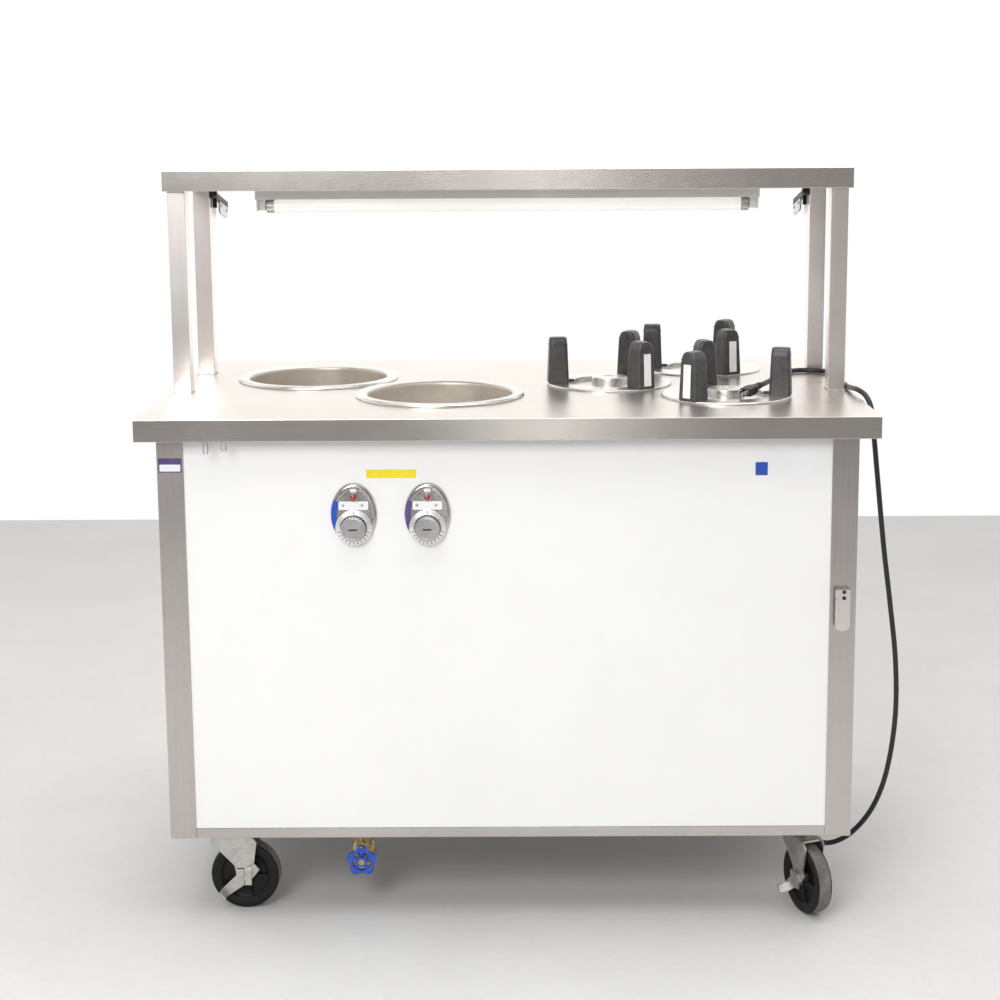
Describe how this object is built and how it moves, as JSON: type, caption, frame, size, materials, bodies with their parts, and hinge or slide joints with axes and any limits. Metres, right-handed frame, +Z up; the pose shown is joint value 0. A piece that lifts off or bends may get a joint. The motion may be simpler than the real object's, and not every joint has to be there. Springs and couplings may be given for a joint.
{
  "type": "steam table unit",
  "caption": "Mobile stainless steam table unit with round soup wells, self-levelling plate dispensers, dial controls, drain valve and a lit overshelf on casters.",
  "frame": {"origin": "on the floor under the middle of the counter top", "axes": "+Z up, +X to the operator's right, the control panel faces -Y"},
  "size_m": [1.3497, 0.74, 1.325],
  "materials": {
    "brushed_steel": "brushed stainless",
    "bright_steel": "bright stainless",
    "zinc_steel": "zinc plated",
    "brass": "dull",
    "pale_panel": "satin",
    "lamp_enamel": "satin enamel",
    "lamp_glass": "frosted",
    "black_metal": "satin",
    "black_plastic": "moulded",
    "dial_plastic": "gloss",
    "blue_plastic": "moulded",
    "wheel_rubber": "matt"
  },
  "bodies": {
    "cabinet": {"counter_top": "brushed_steel", "overshelf": "brushed_steel", "base_pan": "brushed_steel", "corner_post_fl": "brushed_steel", "corner_post_fr": "brushed_steel", "corner_post_rl": "brushed_steel", "corner_post_rr": "brushed_steel", "shelf_post_fl": "brushed_steel", "shelf_post_fr": "brushed_steel", "shelf_post_rl": "brushed_steel", "shelf_post_rr": "brushed_steel", "front_panel": "pale_panel", "rear_panel": "pale_panel", "left_panel": "pale_panel", "right_panel": "pale_panel", "lamp_housing": "lamp_enamel", "lamp_tube": "lamp_glass", "soup_well_rear": "bright_steel", "soup_well_front": "bright_steel", "control_bezel_l": "bright_steel", "control_bezel_r": "bright_steel", "dispenser_tube_a": "bright_steel", "dispenser_tube_b": "bright_steel", "dispenser_tube_c": "bright_steel", "drain_valve": "brass", "plug_hook": "zinc_steel", "carrier_spring_a": "zinc_steel", "carrier_spring_b": "zinc_steel", "carrier_spring_c": "zinc_steel", "cord_gland": "black_plastic", "power_cord": "black_plastic", "power_plug": "black_plastic"},
    "guard_arm_left": {"guard_arm_l": "black_metal"},
    "guard_arm_right": {"guard_arm_r": "black_metal"},
    "valve_wheel": {"valve_handwheel": "blue_plastic"},
    "dial_left": {"control_knob_l": "dial_plastic"},
    "dial_right": {"control_knob_r": "dial_plastic"},
    "carrier_a": {"plate_carrier_a": "bright_steel"},
    "guide_a1": {"guide_post_a1": "black_plastic"},
    "guide_a2": {"guide_post_a2": "black_plastic"},
    "guide_a3": {"guide_post_a3": "black_plastic"},
    "carrier_b": {"plate_carrier_b": "bright_steel"},
    "guide_b1": {"guide_post_b1": "black_plastic"},
    "guide_b2": {"guide_post_b2": "black_plastic"},
    "guide_b3": {"guide_post_b3": "black_plastic"},
    "carrier_c": {"plate_carrier_c": "bright_steel"},
    "guide_c1": {"guide_post_c1": "black_plastic"},
    "guide_c2": {"guide_post_c2": "black_plastic"},
    "guide_c3": {"guide_post_c3": "black_plastic"},
    "fork_fl": {"caster_fork_fl": "zinc_steel"},
    "wheel_fl": {"caster_wheel_fl": "wheel_rubber"},
    "brake_fl": {"brake_pedal_fl": "zinc_steel"},
    "fork_fr": {"caster_fork_fr": "zinc_steel"},
    "wheel_fr": {"caster_wheel_fr": "wheel_rubber"},
    "brake_fr": {"brake_pedal_fr": "zinc_steel"},
    "fork_rl": {"caster_fork_rl": "zinc_steel"},
    "wheel_rl": {"caster_wheel_rl": "wheel_rubber"},
    "fork_rr": {"caster_fork_rr": "zinc_steel"},
    "wheel_rr": {"caster_wheel_rr": "wheel_rubber"}
  },
  "joints": [
    {"name": "guard_left_tilt", "type": "hinge", "parent": "cabinet", "child": "guard_arm_left", "pos_m": [-0.5864, 0.191, 1.273], "axis": [1, 0, 0], "range_deg": [-65, 10]},
    {"name": "guard_right_tilt", "type": "hinge", "parent": "cabinet", "child": "guard_arm_right", "pos_m": [0.5864, 0.191, 1.273], "axis": [1, 0, 0], "range_deg": [-65, 10]},
    {"name": "drain_valve_turn", "type": "hinge", "parent": "cabinet", "child": "valve_wheel", "pos_m": [-0.269, -0.25, 0.092], "axis": [0, -1, 0], "range_deg": [0, 720]},
    {"name": "dial_left_turn", "type": "hinge", "parent": "cabinet", "child": "dial_left", "pos_m": [-0.2665, -0.334, 0.7195], "axis": [0, -1, 0], "range_deg": [-300, 0]},
    {"name": "dial_right_turn", "type": "hinge", "parent": "cabinet", "child": "dial_right", "pos_m": [-0.139, -0.334, 0.7195], "axis": [0, -1, 0], "range_deg": [-300, 0]},
    {"name": "carrier_a_slide", "type": "slide", "parent": "cabinet", "child": "carrier_a", "axis": [0, 0, -1], "range_m": [0, 0.4], "stiffness_N_per_m": 450, "springref_m": -0.06, "deforming": ["carrier_spring_a"]},
    {"name": "guide_a1_slide", "type": "slide", "parent": "cabinet", "child": "guide_a1", "axis": [-0.9976, -0.0698, 0], "range_m": [-0.006, 0.008]},
    {"name": "guide_a2_slide", "type": "slide", "parent": "cabinet", "child": "guide_a2", "axis": [0.5592, -0.829, 0], "range_m": [-0.006, 0.008]},
    {"name": "guide_a3_slide", "type": "slide", "parent": "cabinet", "child": "guide_a3", "axis": [0.4384, 0.8988, 0], "range_m": [-0.006, 0.008]},
    {"name": "carrier_b_slide", "type": "slide", "parent": "cabinet", "child": "carrier_b", "axis": [0, 0, -1], "range_m": [0, 0.4], "stiffness_N_per_m": 450, "springref_m": -0.06, "deforming": ["carrier_spring_b"]},
    {"name": "guide_b1_slide", "type": "slide", "parent": "cabinet", "child": "guide_b1", "axis": [-0.9976, 0.0698, 0], "range_m": [-0.006, 0.008]},
    {"name": "guide_b2_slide", "type": "slide", "parent": "cabinet", "child": "guide_b2", "axis": [0.4384, -0.8988, 0], "range_m": [-0.006, 0.008]},
    {"name": "guide_b3_slide", "type": "slide", "parent": "cabinet", "child": "guide_b3", "axis": [0.5592, 0.829, 0], "range_m": [-0.006, 0.008]},
    {"name": "carrier_c_slide", "type": "slide", "parent": "cabinet", "child": "carrier_c", "axis": [0, 0, -1], "range_m": [0, 0.4], "stiffness_N_per_m": 450, "springref_m": -0.06, "deforming": ["carrier_spring_c"]},
    {"name": "guide_c1_slide", "type": "slide", "parent": "cabinet", "child": "guide_c1", "axis": [-0.6691, -0.7431, 0], "range_m": [-0.006, 0.008]},
    {"name": "guide_c2_slide", "type": "slide", "parent": "cabinet", "child": "guide_c2", "axis": [0.9781, -0.2079, 0], "range_m": [-0.006, 0.008]},
    {"name": "guide_c3_slide", "type": "slide", "parent": "cabinet", "child": "guide_c3", "axis": [-0.309, 0.9511, 0], "range_m": [-0.006, 0.008]},
    {"name": "caster_fl_swivel", "type": "hinge", "parent": "cabinet", "child": "fork_fl", "pos_m": [-0.52, -0.27, 0.141], "axis": [0, 0, 1], "continuous": true},
    {"name": "caster_fl_roll", "type": "hinge", "parent": "fork_fl", "child": "wheel_fl", "pos_m": [-0.48205, -0.27199, 0.0625], "axis": [-0.0523, -0.9986, 0], "continuous": true},
    {"name": "brake_fl_press", "type": "hinge", "parent": "fork_fl", "child": "brake_fl", "pos_m": [-0.48205, -0.27199, 0.0625], "axis": [-0.0523, -0.9986, 0], "range_deg": [0, 20]},
    {"name": "caster_fr_swivel", "type": "hinge", "parent": "cabinet", "child": "fork_fr", "pos_m": [0.52, -0.27, 0.141], "axis": [0, 0, 1], "continuous": true},
    {"name": "caster_fr_roll", "type": "hinge", "parent": "fork_fr", "child": "wheel_fr", "pos_m": [0.53424, -0.30523, 0.0625], "axis": [-0.9272, -0.3746, 0], "continuous": true},
    {"name": "brake_fr_press", "type": "hinge", "parent": "fork_fr", "child": "brake_fr", "pos_m": [0.53424, -0.30523, 0.0625], "axis": [-0.9272, -0.3746, 0], "range_deg": [0, 20]},
    {"name": "caster_rl_swivel", "type": "hinge", "parent": "cabinet", "child": "fork_rl", "pos_m": [-0.52, 0.27, 0.141], "axis": [0, 0, 1], "continuous": true},
    {"name": "caster_rl_roll", "type": "hinge", "parent": "fork_rl", "child": "wheel_rl", "pos_m": [-0.48313, 0.26081, 0.0625], "axis": [-0.2419, -0.9703, 0], "continuous": true},
    {"name": "caster_rr_swivel", "type": "hinge", "parent": "cabinet", "child": "fork_rr", "pos_m": [0.52, 0.27, 0.141], "axis": [0, 0, 1], "continuous": true},
    {"name": "caster_rr_roll", "type": "hinge", "parent": "fork_rr", "child": "wheel_rr", "pos_m": [0.55614, 0.28174, 0.0625], "axis": [0.309, -0.9511, 0], "continuous": true}
  ],
  "couplings": [
    {"joint": "guide_a2_slide", "follows": "guide_a1_slide", "ratio": 1},
    {"joint": "guide_a3_slide", "follows": "guide_a1_slide", "ratio": 1},
    {"joint": "guide_b2_slide", "follows": "guide_b1_slide", "ratio": 1},
    {"joint": "guide_b3_slide", "follows": "guide_b1_slide", "ratio": 1},
    {"joint": "guide_c2_slide", "follows": "guide_c1_slide", "ratio": 1},
    {"joint": "guide_c3_slide", "follows": "guide_c1_slide", "ratio": 1}
  ]
}
